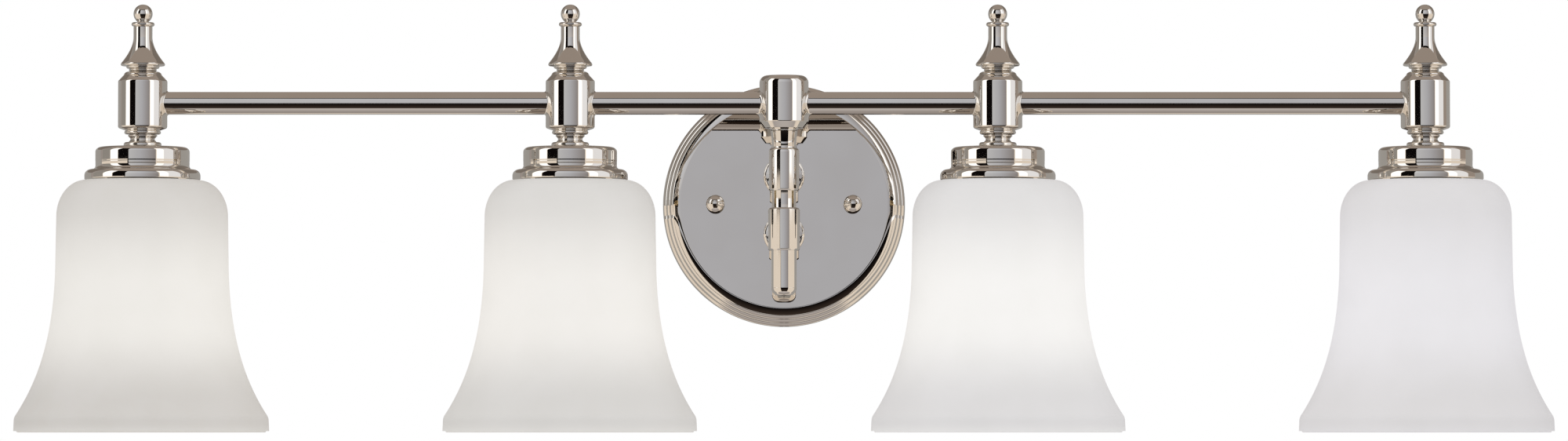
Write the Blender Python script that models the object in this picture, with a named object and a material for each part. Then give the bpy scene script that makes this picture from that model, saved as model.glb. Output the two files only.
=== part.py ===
"""Four-light vanity bar in polished nickel with opal bell shades.

Frame: the origin is the centre of the wall bracket's back face. The wall is the plane y = 0,
the room is towards -Y, +X runs along the bar and +Z is up. Sizes are in millimetres here, and
MM turns them into the metres that Blender holds. Along a turned piece, "height" is measured
from the bar's axis on the light units, and from the wall on pieces that face the room.
"""

import math

import bmesh
import bpy
from mathutils import Matrix, Vector

MM = 0.001
GAP = 0.3  # clearance between touching pieces
WELD = 1e-6  # metres: joins a turned piece's points on its axis
CUT_MARGIN = 4.0  # how far a cutter runs past each face that it cuts

# Layout
UNIT_COUNT = 4
UNIT_SPACING = 233.5
BAR_FROM_WALL = 110.0
BAR_ABOVE_CANOPY = 51.8
ARM_HEIGHTS = {"upper": 15.7, "lower": -16.9}  # from the canopy's centre
STUD_SPACING = 77.0
SIDES = {"left": -1, "right": 1}

# Bar and hubs
TUBE_RADIUS = 6.2
TUBE_WALL = 1.2
SOCKETED_RADIUS = TUBE_RADIUS + GAP
TUBE_END = 8.5  # from a hub's axis to the end of the tube inside it
HUB_RADIUS = 13.4
HUB_TOP = 17.2
HUB_BOTTOM = -17.0
NIPPLE_RADIUS = 4.7
WIREWAY_RADIUS = 2.5
FINIAL_STUD_RADIUS = 2.5

# Post between the canopy's arms and the bar
POST_RADIUS = 6.9
POST_WALL = 1.5
POST_TOP = -7.5
POST_BOTTOM = -105.0
POST_CORNER = 4.3
CENTER_HUB_TOP = 15.1
CENTER_HUB_BOTTOM = -13.2
SLEEVE_RADIUS = 8.3
SLEEVE_LENGTH = 23.3
SLEEVE_CHAMFER = 1.1
ARM_RADIUS = 5.5
ARM_WALL = 1.5
ARM_INSIDE_CANOPY = 10.0
FLANGE_RADIUS = 11.5
FLANGE_HEIGHT = 7.0

# Canopy and its fastenings
CANOPY_RADIUS = 68.3
CANOPY_DEPTH = 24.0
CANOPY_WALL = 1.2
CANOPY_FACE_RADIUS = 58.6  # where the flat face ends and its rounded edge starts
CANOPY_FACE_ROUND = 9.0
ROLL_STEP = 2.1
ROLL_LAND = 0.8
BRACKET_THICKNESS = 1.6
BRACKET_UPRIGHT = (20.0, 110.0)  # width and height of the strap that the outlet box holds
BRACKET_CROSSBAR = (92.0, 16.0)  # width and height of the strap that holds the studs
BRACKET_CORNER = 3.0
GROUND_SCREW_HEIGHT = 24.0
GROUND_SHANK = 1.9
BOX_SLOT_SPACING = 88.9  # the usual screw spacing of a 4 inch outlet box
BOX_SLOT_RADIUS = 3.0
BOX_SLOT_LENGTH = 12.0
STUD_RADIUS = 2.0
STUD_END = 31.0
STUD_TIP_RADIUS = 1.4
STUD_NUT_WIDTH = 8.7  # across its flats
ARM_NUT_WIDTH = 17.0
CLEAR_OF_WALL = 0.2  # from the wall to the back ends of the studs and the ground screw

# Fitter cup, socket and shade ring
CUP_TOP = -24.0
CUP_TIER_RADIUS = 25.6
CUP_SKIRT_RADIUS = 31.5
CUP_BOTTOM = -41.8
CUP_WALL = 1.2
SOCKET_RADIUS = 19.6
SOCKET_BOTTOM = -62.0
SOCKET_BORE = 13.7
SOCKET_FLOOR = -35.7
RING_OUTER = 27.0
RING_INNER = SOCKET_RADIUS + 0.4
RING_HEIGHT = 4.4

# Shade
GLASS = 3.0
SHADE_TOP = CUP_BOTTOM - GAP
SHADE_HOLE = 21.0
SHOULDER_CENTRE = (31.0, -62.0)
SHOULDER_SIZE = (15.6, 19.9)
WAIST_RADIUS = 47.0
WAIST_HEIGHT = -85.0
FLARE_END = -171.4
FLARE_GROWTH = 22.0
RIM_RADIUS = 69.3
RIM_BOTTOM = -179.5

# Lamp, the usual 60 mm screw-base bulb
BULB_RADIUS = 30.0
BULB_CENTRE = -115.0
BULB_NECK = 12.2
BULB_SKIN = 1.0
BASE_RADIUS = 13.1
BASE_TOP = -36.3
BASE_BOTTOM = -61.0

# Segments round a turned piece
SMALL = 12
MEDIUM = 16
WIDE = 32

SHARP_ANGLE = math.radians(35)
FACING_ROOM = (math.pi / 2, 0.0, 0.0)  # turns local +Z to -Y
ALONG_BAR = (0.0, math.pi / 2, 0.0)  # turns local +Z to +X

MATERIALS = {
    "polished_nickel": ((0.72, 0.68, 0.62, 1.0), 0.06, 1.0),
    "opal_glass": ((0.93, 0.92, 0.89, 1.0), 0.25, 0.0),
    "bulb_glass": ((0.96, 0.94, 0.88, 1.0), 0.3, 0.0),
    "bulb_brass": ((0.78, 0.62, 0.34, 1.0), 0.3, 1.0),
    "ring_brass": ((0.70, 0.58, 0.36, 1.0), 0.35, 1.0),
    "socket_phenolic": ((0.05, 0.045, 0.04, 1.0), 0.45, 0.0),
    "zinc_steel": ((0.55, 0.56, 0.57, 1.0), 0.35, 1.0),
    "ground_green": ((0.05, 0.3, 0.12, 1.0), 0.4, 0.6),
}


def clear_scene():
    for old in list(bpy.data.objects):
        bpy.data.objects.remove(old, do_unlink=True)


def make_materials():
    made = {}
    for name, (colour, roughness, metallic) in MATERIALS.items():
        material = bpy.data.materials.new(name)
        material.use_nodes = True
        shader = material.node_tree.nodes["Principled BSDF"]
        shader.inputs["Base Color"].default_value = colour
        shader.inputs["Roughness"].default_value = roughness
        shader.inputs["Metallic"].default_value = metallic
        made[name] = material
    return made


def arc(centre, size, start, end, steps):
    """Points on an ellipse from angle start to end, in degrees, both ends included."""
    points = []
    for i in range(steps + 1):
        angle = math.radians(start + (end - start) * i / steps)
        points.append((centre[0] + size[0] * math.cos(angle), centre[1] + size[1] * math.sin(angle)))
    return points


def inset(outline, distance):
    """The outline moved to its right-hand side by distance, its end points moved squarely."""
    moved = []
    for i, point in enumerate(outline):
        before = Vector(outline[max(i - 1, 0)])
        after = Vector(outline[min(i + 1, len(outline) - 1)])
        along = (after - before).normalized()
        moved.append((point[0] + along.y * distance, point[1] - along.x * distance))
    return moved


def mesh_from(bm, name):
    bmesh.ops.recalc_face_normals(bm, faces=bm.faces)
    bm.transform(Matrix.Scale(MM, 4))
    mesh = bpy.data.meshes.new(name)
    bm.to_mesh(mesh)
    bm.free()
    mesh.shade_smooth()
    mesh.set_sharp_from_angle(angle=SHARP_ANGLE)
    return mesh


def turned(name, outline, steps):
    """A mesh turned about Z from (radius, height) points.

    An outline whose ends both lie on the axis stays open, and any other is closed.
    """
    bm = bmesh.new()
    ring = [bm.verts.new((radius, 0.0, height)) for radius, height in outline]
    edges = [bm.edges.new(pair) for pair in zip(ring, ring[1:])]
    if outline[0][0] > 0.0 or outline[-1][0] > 0.0:
        edges.append(bm.edges.new((ring[-1], ring[0])))
    bmesh.ops.spin(
        bm, geom=ring + edges, cent=(0, 0, 0), axis=(0, 0, 1), angle=math.tau, steps=steps, use_merge=True
    )
    bmesh.ops.remove_doubles(bm, verts=bm.verts, dist=WELD / MM)
    return mesh_from(bm, name)


def cylinders(name, pieces):
    """One mesh of separate cylinders, each (radius, start, end) with its ends as points."""
    bm = bmesh.new()
    for radius, start, end in pieces:
        start, end = Vector(start), Vector(end)
        turn = (end - start).to_track_quat("Z", "Y").to_matrix().to_4x4()
        place = Matrix.Translation((start + end) / 2) @ turn
        bmesh.ops.create_cone(
            bm,
            cap_ends=True,
            segments=SMALL,
            radius1=radius,
            radius2=radius,
            depth=(end - start).length,
            matrix=place,
        )
    return mesh_from(bm, name)


def tube_outline(outer, inner, low, high):
    return [(outer, high), (outer, low), (inner, low), (inner, high)]


def metres(point):
    return Vector(point) * MM


class Builder:
    """Places meshes as named objects with one material each."""

    def __init__(self):
        self.materials = make_materials()

    def link(self, item, parent, at, turn=(0.0, 0.0, 0.0)):
        bpy.context.scene.collection.objects.link(item)
        item.parent = parent
        item.location = metres(at)
        item.rotation_euler = turn
        return item

    def empty(self, name, at):
        return self.link(bpy.data.objects.new(name, None), None, at)

    def piece(self, name, mesh, material, parent, at=(0, 0, 0), turn=(0.0, 0.0, 0.0)):
        """A named object in one material. Objects that share a mesh share its material."""
        if not mesh.materials:
            mesh.materials.append(self.materials[material])
        return self.link(bpy.data.objects.new(name, mesh), parent, at, turn)

    def cut(self, item, mesh, parent, at=(0, 0, 0)):
        """Cuts a mesh out of an object, leaving the cutter out of renders and of the build."""
        cutter = self.link(bpy.data.objects.new(f"{item.name}_cutter", mesh), parent, at)
        cutter.hide_render = True
        cutter.display_type = "WIRE"
        boolean = item.modifiers.new("cut", "BOOLEAN")
        boolean.operation = "DIFFERENCE"
        boolean.solver = "EXACT"
        boolean.object = cutter


def hex_nut(name, across_flats, bore, low, high):
    """A hexagon nut about Z from low to high, with a round bore."""
    outer_radius = across_flats / math.sqrt(3)
    bm = bmesh.new()
    rims = []
    for height in (low, high):
        outside = bmesh.ops.create_circle(
            bm, segments=6, radius=outer_radius, matrix=Matrix.Translation((0, 0, height))
        )["verts"]
        inside = bmesh.ops.create_circle(
            bm, segments=12, radius=bore, matrix=Matrix.Translation((0, 0, height))
        )["verts"]
        rims.append((outside, inside))
    for outside, inside in rims:
        for i in range(6):
            j = (i + 1) % 6
            bm.faces.new((outside[i], outside[j], inside[2 * j], inside[2 * i + 1], inside[2 * i]))
    (low_out, low_in), (high_out, high_in) = rims
    for i in range(6):
        j = (i + 1) % 6
        bm.faces.new((low_out[i], low_out[j], high_out[j], high_out[i]))
    for i in range(12):
        j = (i + 1) % 12
        bm.faces.new((low_in[i], high_in[i], high_in[j], low_in[j]))
    return mesh_from(bm, name)


# The wall side: bracket, studs and canopy


def bracket_mesh():
    """An upright strap and a crossbar in one flat plate, its back face on the wall."""
    narrow, tall = (size / 2 for size in BRACKET_UPRIGHT)
    wide, low = (size / 2 for size in BRACKET_CROSSBAR)
    quarter = [(wide, low), (narrow, low), (narrow, tall)]
    rim = quarter + [(-x, z) for x, z in reversed(quarter)]
    rim += [(-x, -z) for x, z in quarter] + [(x, -z) for x, z in reversed(quarter)]
    bm = bmesh.new()
    face = bm.faces.new([bm.verts.new((x, 0.0, z)) for x, z in rim])
    thicken(bm, face, -BRACKET_THICKNESS)
    uprights = [e for e in bm.edges if e.verts[0].co.xz == e.verts[1].co.xz]
    ends = [e for e in uprights if not inner_corner(e, narrow, low)]
    bmesh.ops.bevel(bm, geom=ends, offset=BRACKET_CORNER, segments=3, profile=0.5, affect="EDGES")
    return mesh_from(bm, "wall_bracket")


def inner_corner(edge, narrow, low):
    corner = edge.verts[0].co
    return abs(corner.x) <= narrow and abs(corner.z) <= low


def thicken(bm, face, depth):
    """Extrudes a face in the XZ plane along Y by depth."""
    sweep = bmesh.ops.extrude_face_region(bm, geom=[face])
    moved = [v for v in sweep["geom"] if isinstance(v, bmesh.types.BMVert)]
    bmesh.ops.translate(bm, vec=(0, depth, 0), verts=moved)


def slot_mesh(name):
    """A cutter with round ends, upright, that passes right through the bracket."""
    half = BOX_SLOT_LENGTH / 2 - BOX_SLOT_RADIUS
    rim = arc((0, half), (BOX_SLOT_RADIUS, BOX_SLOT_RADIUS), 0, 180, 6)
    rim += arc((0, -half), (BOX_SLOT_RADIUS, BOX_SLOT_RADIUS), 180, 360, 6)
    bm = bmesh.new()
    face = bm.faces.new([bm.verts.new((x, CUT_MARGIN, z)) for x, z in rim])
    thicken(bm, face, -BRACKET_THICKNESS - 2 * CUT_MARGIN)
    return mesh_from(bm, name)


def build_wall_side(make):
    wall = make.empty("wall_plane", (0, 0, 0))
    bracket = make.piece("wall_bracket", bracket_mesh(), "zinc_steel", wall)
    holes = [(STUD_RADIUS + GAP, side * STUD_SPACING / 2, 0) for side in SIDES.values()]
    holes.append((GROUND_SHANK + GAP, 0, GROUND_SCREW_HEIGHT))
    front = -BRACKET_THICKNESS - CUT_MARGIN
    drills = [(radius, (x, CUT_MARGIN, z), (x, front, z)) for radius, x, z in holes]
    make.cut(bracket, cylinders("bracket_drills", drills), wall)
    slot = slot_mesh("box_slot")
    for side in SIDES.values():
        make.cut(bracket, slot, wall, (0, 0, side * BOX_SLOT_SPACING / 2))

    head = BRACKET_THICKNESS + GAP
    head_radius = 4.3
    screw = [(0, CLEAR_OF_WALL), (GROUND_SHANK, CLEAR_OF_WALL), (GROUND_SHANK, head), (head_radius, head)]
    screw += [(head_radius, head + 1.2), (head_radius - 1.1, head + 2.4), (0, head + 2.6)]
    screw_mesh = turned("ground_screw", screw, SMALL)
    place = (0, 0, GROUND_SCREW_HEIGHT)
    make.piece("ground_screw", screw_mesh, "ground_green", wall, place, FACING_ROOM)
    stud = [(0, CLEAR_OF_WALL), (STUD_RADIUS, CLEAR_OF_WALL), (STUD_RADIUS, STUD_END - 0.6)]
    stud += [(STUD_TIP_RADIUS, STUD_END), (0, STUD_END)]
    stud_mesh = turned("mounting_stud", stud, SMALL)
    locknut_mesh = hex_nut("stud_locknut", STUD_NUT_WIDTH, STUD_RADIUS + GAP, head, head + 3.0)
    for name, side in SIDES.items():
        place = (side * STUD_SPACING / 2, 0, 0)
        make.piece(f"mounting_stud_{name}", stud_mesh, "zinc_steel", wall, place, FACING_ROOM)
        make.piece(f"stud_locknut_{name}", locknut_mesh, "zinc_steel", wall, place, FACING_ROOM)


def canopy_outline():
    """A pan open to the wall: three rolled steps, a drum, and a flat face with a softened edge."""
    outer = [(CANOPY_RADIUS, 0)]
    radius = CANOPY_RADIUS
    roll_foot = 1.0
    for _ in range(3):
        outer += arc((radius - ROLL_STEP, roll_foot), (ROLL_STEP, ROLL_STEP), 0, 90, 2)
        radius -= ROLL_STEP
        roll_top = roll_foot + ROLL_STEP
        roll_foot = roll_top + ROLL_LAND
    drum_top = CANOPY_DEPTH - 1.1
    outer.append((radius, drum_top))
    round_centre = (CANOPY_FACE_RADIUS, CANOPY_DEPTH - CANOPY_FACE_ROUND)
    outer += arc(round_centre, (CANOPY_FACE_ROUND, CANOPY_FACE_ROUND), 68.5, 90, 2)
    outer.append((0, CANOPY_DEPTH))
    inner = [(0, CANOPY_DEPTH - CANOPY_WALL), (CANOPY_FACE_RADIUS, CANOPY_DEPTH - CANOPY_WALL)]
    inner += [(radius - CANOPY_WALL, drum_top - CANOPY_WALL), (radius - CANOPY_WALL, roll_top)]
    inner.append((CANOPY_RADIUS - CANOPY_WALL, 0))
    return inner + outer


def build_canopy(make):
    centre = make.empty("canopy_centre", (0, 0, 0))
    mesh = turned("canopy", canopy_outline(), WIDE)
    canopy = make.piece("canopy", mesh, "polished_nickel", centre, turn=FACING_ROOM)
    behind = CANOPY_WALL + CUT_MARGIN - CANOPY_DEPTH
    before = -CANOPY_DEPTH - CUT_MARGIN
    drills = [(ARM_RADIUS + GAP, (0, behind, z), (0, before, z)) for z in ARM_HEIGHTS.values()]
    for side in SIDES.values():
        x = side * STUD_SPACING / 2
        drills.append((STUD_RADIUS + GAP, (x, behind, 0), (x, before, 0)))
    make.cut(canopy, cylinders("canopy_drills", drills), centre)

    face = CANOPY_DEPTH + GAP
    bore = STUD_RADIUS + GAP
    ball = 5.4
    foot = 3.9
    foot_height = 1.6
    ball_centre = face + 6.6
    bore_end = STUD_END + 2 * GAP
    nut = [(0, bore_end), (bore, bore_end), (bore, face), (foot, face), (foot, face + foot_height)]
    nut += arc((0, ball_centre), (ball, ball), -45, 60, 3)
    nut.append((0, ball_centre + ball))
    nut_mesh = turned("cap_nut", nut, SMALL)
    for name, side in SIDES.items():
        place = (side * STUD_SPACING / 2, 0, 0)
        make.piece(f"cap_nut_{name}", nut_mesh, "polished_nickel", centre, place, FACING_ROOM)


# The stem: arms, post and centre hub


def build_stem(make):
    stem = make.empty("stem_axis", (0, -BAR_FROM_WALL, BAR_ABOVE_CANOPY))
    arm_start = CANOPY_DEPTH - ARM_INSIDE_CANOPY
    arm_end = BAR_FROM_WALL - POST_RADIUS - GAP
    arm = turned("arm", tube_outline(ARM_RADIUS, ARM_RADIUS - ARM_WALL, arm_start, arm_end), MEDIUM)
    face = CANOPY_DEPTH + GAP
    hole = ARM_RADIUS + GAP
    rim = face + 1.6
    edge = (2.1, 1.5)
    flange = [(hole, face), (FLANGE_RADIUS, face), (FLANGE_RADIUS, rim)]
    flange += arc((FLANGE_RADIUS - edge[0], rim), edge, 45, 90, 1)
    flange += [(7.8, face + 3.4), (7.4, face + FLANGE_HEIGHT), (hole, face + FLANGE_HEIGHT)]
    flange_mesh = turned("arm_flange", flange, MEDIUM)
    nut_high = CANOPY_DEPTH - CANOPY_WALL - GAP
    locknut_mesh = hex_nut("arm_locknut", ARM_NUT_WIDTH, hole, nut_high - 4.0, nut_high)

    half = SLEEVE_LENGTH / 2
    bore = POST_RADIUS + GAP
    sleeve = [(bore, half), (SLEEVE_RADIUS - SLEEVE_CHAMFER / 2, half)]
    sleeve.append((SLEEVE_RADIUS, half - SLEEVE_CHAMFER))
    sleeve += [(radius, -height) for radius, height in reversed(sleeve)]
    sleeve_mesh = turned("post_sleeve", sleeve, MEDIUM)
    past = SLEEVE_RADIUS + CUT_MARGIN
    cross_hole = cylinders("sleeve_drill", [(hole, (0, 2.0, 0), (0, past, 0))])
    wire_hole = cylinders("post_drill", [(WIREWAY_RADIUS, (0, 0.5, 0), (0, past, 0))])

    post = build_post(make, stem)
    for name, height in ARM_HEIGHTS.items():
        make.piece(f"arm_{name}", arm, "polished_nickel", None, (0, 0, height), FACING_ROOM)
        make.piece(f"arm_flange_{name}", flange_mesh, "polished_nickel", None, (0, 0, height), FACING_ROOM)
        make.piece(f"arm_locknut_{name}", locknut_mesh, "zinc_steel", None, (0, 0, height), FACING_ROOM)
        on_post = (0, 0, height - BAR_ABOVE_CANOPY)
        item = make.piece(f"post_sleeve_{name}", sleeve_mesh, "polished_nickel", stem, on_post)
        make.cut(item, cross_hole, stem, on_post)
        make.cut(post, wire_hole, stem, on_post)
    build_center_hub(make, stem)


def build_post(make, stem):
    """A tube closed at its lower end by a rounded tip."""
    inner = POST_RADIUS - POST_WALL
    flat = POST_RADIUS - POST_CORNER
    corner = POST_BOTTOM + POST_CORNER
    outline = [(0, POST_BOTTOM + POST_WALL), (inner, corner), (inner, POST_TOP), (POST_RADIUS, POST_TOP)]
    outline += arc((flat, corner), (POST_CORNER, POST_CORNER), 0, -70, 2)
    outline.append((0, POST_BOTTOM))
    return make.piece("post", turned("post", outline, MEDIUM), "polished_nickel", stem)


def build_center_hub(make, stem):
    bore = POST_RADIUS + GAP
    bore_top = -3.0
    top_edge = 4.0
    chamfer = (2.3, 2.8)
    outline = [(0, bore_top), (bore, bore_top), (bore, CENTER_HUB_BOTTOM)]
    outline.append((HUB_RADIUS - chamfer[0], CENTER_HUB_BOTTOM))
    outline.append((HUB_RADIUS, CENTER_HUB_BOTTOM + chamfer[1]))
    outline += arc((HUB_RADIUS - top_edge, CENTER_HUB_TOP - top_edge), (top_edge, top_edge), 0, 90, 2)
    outline.append((0, CENTER_HUB_TOP))
    hub = make.piece("center_hub", turned("center_hub", outline, MEDIUM), "polished_nickel", stem)
    end = HUB_RADIUS + CUT_MARGIN
    make.cut(hub, cylinders("center_hub_drill", [(SOCKETED_RADIUS, (-end, 0, 0), (end, 0, 0))]), stem)


# The bar and the four light units


def unit_xs():
    middle = (UNIT_COUNT - 1) / 2
    return [(i - middle) * UNIT_SPACING for i in range(UNIT_COUNT)]


def build_bar(make):
    """Four tubes, each between two of the five hubs."""
    hubs = sorted(unit_xs() + [0.0])
    for i, (left, right) in enumerate(zip(hubs, hubs[1:])):
        half = (right - left) / 2 - TUBE_END
        outline = tube_outline(TUBE_RADIUS, TUBE_RADIUS - TUBE_WALL, -half, half)
        place = ((left + right) / 2, -BAR_FROM_WALL, BAR_ABOVE_CANOPY)
        mesh = turned(f"bar_tube_{i + 1}", outline, MEDIUM)
        make.piece(f"bar_tube_{i + 1}", mesh, "polished_nickel", None, place, ALONG_BAR)


def finial_outline():
    """From the top: ball, neck, bead, column, flared skirt with a lip, two beads and a stud."""
    ball = 5.2
    neck = 3.5
    ball_centre = 48.8
    under_ball = -90 + math.degrees(math.asin(neck / ball))
    outline = [(0, ball_centre + ball)] + arc((0, ball_centre), (ball, ball), 45, under_ball, 3)
    bead_centre = 43.1
    outline += [(neck, bead_centre + 1.3)]
    outline += arc((5.2, bead_centre), (1.1, 1.1), 90, -90, 2)
    column, column_end, skirt_end, skirt_growth = 5.15, 36.0, 21.9, 6.65
    for i in range(4):
        t = i / 3
        outline.append((column + skirt_growth * t**1.78, column_end + (skirt_end - column_end) * t))
    outline += [(11.9, 20.4), (8.8, 20.3), (8.6, 19.1), (7.3, 18.9), (7.0, HUB_TOP + GAP)]
    stud_end = 9.5
    outline += [(FINIAL_STUD_RADIUS, HUB_TOP + GAP), (FINIAL_STUD_RADIUS, stud_end), (0, stud_end)]
    return outline


def hub_outline():
    """A barrel with a rounded shoulder, and a bore stepped for the finial's stud and the nipple."""
    shoulder = arc((7.9, 15.0), (2.5, 2.2), 90, 0, 2)
    bead = [(10.1, -15.3), (9.8, HUB_BOTTOM)]
    stud_hole = FINIAL_STUD_RADIUS + GAP
    nipple_hole = NIPPLE_RADIUS + GAP
    nipple_hole_top = 8.0
    outline = [(stud_hole, HUB_TOP)] + shoulder + [(HUB_RADIUS, 12.1), (HUB_RADIUS, -13.1)] + bead
    outline += [(nipple_hole, HUB_BOTTOM), (nipple_hole, nipple_hole_top)]
    return outline + [(stud_hole, nipple_hole_top)]


def neck_outline():
    """A waisted spool with a hollow nipple at each end, into the hub and through the cup."""
    top = HUB_BOTTOM - GAP
    bottom = CUP_TOP + GAP
    nipple_top, nipple_bottom = -10.0, -28.5
    waist, foot = 7.0, 10.0
    outline = [(WIREWAY_RADIUS, nipple_top), (NIPPLE_RADIUS, nipple_top), (NIPPLE_RADIUS, top), (8.2, top)]
    outline += [(waist, -19.0), (waist, -20.8), (foot, -22.1), (foot, bottom), (NIPPLE_RADIUS, bottom)]
    return outline + [(NIPPLE_RADIUS, nipple_bottom), (WIREWAY_RADIUS, nipple_bottom)]


def cup_outline():
    """Two tiers in thin metal, open below, with a hole for the nipple."""
    hole = NIPPLE_RADIUS + GAP
    edge = 3.4
    step = -35.3
    skirt_top = -39.6
    outer = [(hole, CUP_TOP)] + arc((CUP_TIER_RADIUS - edge, CUP_TOP - edge), (edge, edge), 90, 0, 2)
    flare = (CUP_SKIRT_RADIUS - CUP_TIER_RADIUS, step - skirt_top)
    outer += arc((CUP_TIER_RADIUS, skirt_top), flare, 90, 0, 2)
    outer.append((CUP_SKIRT_RADIUS, CUP_BOTTOM))
    tier_inner = CUP_TIER_RADIUS - CUP_WALL
    skirt_inner = CUP_SKIRT_RADIUS - CUP_WALL
    inner = [(skirt_inner, CUP_BOTTOM), (skirt_inner, skirt_top), (tier_inner + 3.4, step - 1.6)]
    inner += [(tier_inner, step - CUP_WALL), (tier_inner, CUP_TOP - edge)]
    return outer + inner + [(CUP_TIER_RADIUS - edge, CUP_TOP - CUP_WALL), (hole, CUP_TOP - CUP_WALL)]


def socket_outline():
    """A lamp holder: a hole for the nipple above, and a deep bore for the lamp below."""
    top = CUP_TOP - CUP_WALL - GAP
    hole = NIPPLE_RADIUS + GAP
    outline = [(hole, top), (17.0, top), (SOCKET_RADIUS, top - 2.5), (SOCKET_RADIUS, SOCKET_BOTTOM)]
    return outline + [(SOCKET_BORE, SOCKET_BOTTOM), (SOCKET_BORE, SOCKET_FLOOR), (hole, SOCKET_FLOOR)]


def ring_outline():
    top = SHADE_TOP - GLASS - GAP
    bottom = top - RING_HEIGHT
    outline = [(RING_INNER, top), (RING_OUTER, top), (RING_OUTER, bottom + 1.2)]
    return outline + [(RING_OUTER - 1.5, bottom), (RING_INNER, bottom)]


def shade_outline():
    """A bell: a flat top with a hole, a round shoulder, a straight waist, a flare and an upright rim."""
    outer = [(SHADE_HOLE, SHADE_TOP)] + arc(SHOULDER_CENTRE, SHOULDER_SIZE, 90, 0, 3)
    steps = 3
    for i in range(steps + 1):
        t = (i / steps) ** 0.8
        radius = WAIST_RADIUS + FLARE_GROWTH * (0.68 * t**2 + 0.32 * t**4)
        outer.append((radius, WAIST_HEIGHT + (FLARE_END - WAIST_HEIGHT) * t))
    outer.append((RIM_RADIUS, FLARE_END - 3.6))
    inner = inset(outer, GLASS)
    inner[0] = (SHADE_HOLE, SHADE_TOP - GLASS)
    lip = [(RIM_RADIUS, RIM_BOTTOM), (RIM_RADIUS - GLASS, RIM_BOTTOM)]
    return outer + lip + inner[::-1]


def bulb_glass_outline():
    """A pear-shaped skin of glass, open at its neck inside the base."""
    outer = [(BULB_NECK, -57.5), (BULB_NECK, -63.0), (20.0, -84.0), (27.8, -103.7)]
    outer += arc((0, BULB_CENTRE), (BULB_RADIUS, BULB_RADIUS), 0, -90, 3)
    outer[-1] = (0, BULB_CENTRE - BULB_RADIUS)
    inner = inset(outer, BULB_SKIN)
    inner[-1] = (0, BULB_CENTRE - BULB_RADIUS + BULB_SKIN)
    return inner[::-1] + outer


def bulb_base_outline():
    """A thin screw cap open towards the glass, with its contact on the closed end."""
    inner = BASE_RADIUS - 0.6
    outer = [(0, BASE_TOP), (4.4, BASE_TOP), (5.2, -38.4), (10.4, -40.0), (BASE_RADIUS, -42.0)]
    outer.append((BASE_RADIUS, BASE_BOTTOM))
    return outer + [(inner, BASE_BOTTOM), (inner, -43.0), (10.0, -41.4), (0, -40.6)]


def build_units(make):
    meshes = {
        "finial": (turned("finial", finial_outline(), SMALL), "polished_nickel"),
        "neck": (turned("neck", neck_outline(), SMALL), "polished_nickel"),
        "cup": (turned("cup", cup_outline(), MEDIUM), "polished_nickel"),
        "socket": (turned("socket", socket_outline(), MEDIUM), "socket_phenolic"),
        "shade_ring": (turned("shade_ring", ring_outline(), MEDIUM), "ring_brass"),
        "shade": (turned("shade", shade_outline(), MEDIUM), "opal_glass"),
        "bulb_glass": (turned("bulb_glass", bulb_glass_outline(), SMALL), "bulb_glass"),
        "bulb_base": (turned("bulb_base", bulb_base_outline(), SMALL), "bulb_brass"),
    }
    hub_mesh = turned("hub", hub_outline(), MEDIUM)
    inside = 2.0  # how far an end hub's blind side hole passes the hub's axis
    through = HUB_RADIUS + CUT_MARGIN
    for i, x in enumerate(unit_xs()):
        unit = make.empty(f"unit_{i + 1}", (x, -BAR_FROM_WALL, BAR_ABOVE_CANOPY))
        for name, (mesh, material) in meshes.items():
            make.piece(f"{name}_{i + 1}", mesh, material, unit)
        hub = make.piece(f"hub_{i + 1}", hub_mesh, "polished_nickel", unit)
        left = -inside if i == 0 else -through
        right = inside if i == UNIT_COUNT - 1 else through
        drill = cylinders(f"hub_drill_{i + 1}", [(SOCKETED_RADIUS, (left, 0, 0), (right, 0, 0))])
        make.cut(hub, drill, unit)


def main():
    clear_scene()
    make = Builder()
    build_wall_side(make)
    build_canopy(make)
    build_stem(make)
    build_bar(make)
    build_units(make)


main()
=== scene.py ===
"""Looks of a four-light vanity bar: mirror-polished nickel with white opal bell shades.

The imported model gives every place: each light unit stands on its hub's axis, and the canopy on the
wall plane y = 0. Sizes below are in millimetres. Along a turned piece, "height" is measured from the
bar's axis on the light units, and from the wall on pieces that face the room.
"""

import math

import bmesh
import bpy
from mathutils import Matrix, Vector


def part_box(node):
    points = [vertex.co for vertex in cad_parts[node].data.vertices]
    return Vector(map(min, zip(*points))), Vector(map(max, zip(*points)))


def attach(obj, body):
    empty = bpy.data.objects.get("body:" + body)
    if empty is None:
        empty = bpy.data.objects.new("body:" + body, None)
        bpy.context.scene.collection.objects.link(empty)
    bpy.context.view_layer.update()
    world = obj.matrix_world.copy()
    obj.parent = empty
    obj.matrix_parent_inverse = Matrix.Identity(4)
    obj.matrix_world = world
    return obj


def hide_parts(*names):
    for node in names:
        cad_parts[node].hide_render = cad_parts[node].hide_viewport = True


MM = 0.001
FINEST = 144  # segments round the broad turned pieces of a light unit
FINE = 96
SMALL = 48
FACING_ROOM = (math.pi / 2, 0.0, 0.0)  # turns local +Z to -Y
ALONG_BAR = (0.0, math.pi / 2, 0.0)  # turns local +Z to +X
UPRIGHT = (0.0, 0.0, 0.0)
UNITS = (1, 2, 3, 4)
SIDES = ("left", "right")
SHARP_ANGLE = math.radians(32)

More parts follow.
